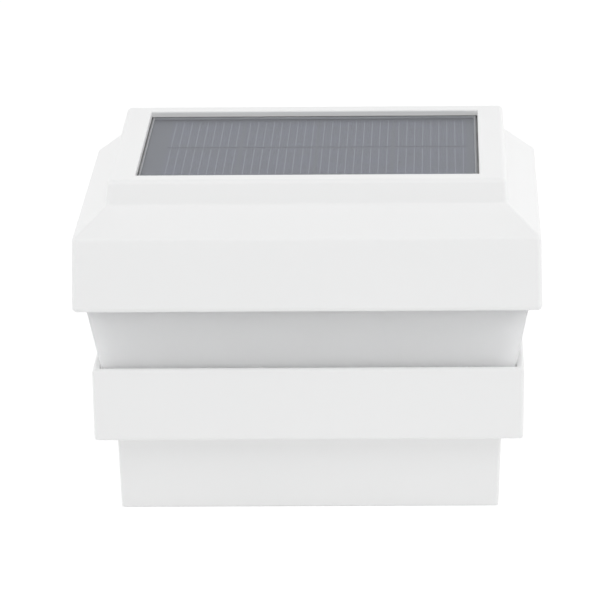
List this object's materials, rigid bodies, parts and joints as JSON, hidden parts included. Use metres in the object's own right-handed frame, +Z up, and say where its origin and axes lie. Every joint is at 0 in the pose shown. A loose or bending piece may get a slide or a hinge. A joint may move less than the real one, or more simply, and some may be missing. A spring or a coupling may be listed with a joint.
{
  "type": "deck post cap light",
  "caption": "Square solar light that caps a deck post: hipped lid with an inset solar panel, flared frosted lens, and a collared base whose skirt fits over the post.",
  "frame": {"origin": "centre of the skirt's bottom rim, level with the surface the light stands on", "axes": "+Z up along the post, +X to the right seen from the front, the front faces -Y"},
  "size_m": [0.139, 0.139, 0.1004],
  "materials": {
    "white_moulding": "satin moulded ABS",
    "frosted_lens": "frosted translucent moulding",
    "module_white": "fine matt moulding",
    "door_white": "fine matt moulding",
    "solar_silicon": "dark blue crystalline silicon",
    "panel_laminate": "dark backing laminate",
    "panel_clear": "clear cast cover",
    "black_sealant": "black sealing bead",
    "grey_foam": "closed-cell foam",
    "zinc_screw": "zinc plated",
    "circuit_laminate": "green solder mask",
    "diode_clear": "clear epoxy",
    "chip_black": "moulded epoxy",
    "resistor_ceramic": "coated ceramic",
    "capacitor_can": "sleeved can",
    "ferrite": "dark ferrite",
    "copper_winding": "enamelled copper wire",
    "switch_case": "pressed case",
    "knob_black": "moulded",
    "battery_steel": "nickel plated can",
    "battery_sleeve": "shrink sleeve",
    "contact_nickel": "nickel plated spring strip",
    "lead_red": "vinyl covered lead",
    "lead_black": "vinyl covered lead"
  },
  "bodies": {
    "base": {"post_base": "white_moulding"},
    "lid": {"battery_cans": "battery_steel", "battery_lead_black": "lead_black", "battery_lead_red": "lead_red", "battery_sleeves": "battery_sleeve", "battery_springs": "contact_nickel", "board_screws": "zinc_screw", "bridge_contact": "contact_nickel", "circuit_board": "circuit_laminate", "control_chip": "chip_black", "housing_gasket": "grey_foam", "inductor_core": "ferrite", "inductor_winding": "copper_winding", "lens": "frosted_lens", "lens_screws": "zinc_screw", "lid_shell": "white_moulding", "light_emitting_diodes": "diode_clear", "module_housing": "module_white", "module_screws": "zinc_screw", "negative_contact": "contact_nickel", "panel_board": "panel_laminate", "panel_cover": "panel_clear", "panel_lead_black": "lead_black", "panel_lead_red": "lead_red", "panel_sealant": "black_sealant", "positive_contact": "contact_nickel", "resistors": "resistor_ceramic", "smoothing_capacitor": "capacitor_can", "solar_cells": "solar_silicon", "switch_body": "switch_case"},
    "door": {"battery_door": "door_white", "door_foam": "grey_foam"},
    "knob": {"switch_knob": "knob_black"}
  },
  "joints": [
    {"name": "lid_lift", "type": "slide", "parent": "base", "child": "lid", "axis": [0, 0, 1], "range_m": [0, 0.06]},
    {"name": "battery_door_swing", "type": "hinge", "parent": "lid", "child": "door", "pos_m": [0, 0.01385, 0.06947], "axis": [1, 0, 0], "range_deg": [0, 80]},
    {"name": "switch_slide", "type": "slide", "parent": "lid", "child": "knob", "axis": [1, 0, 0], "range_m": [0, 0.0025]}
  ]
}
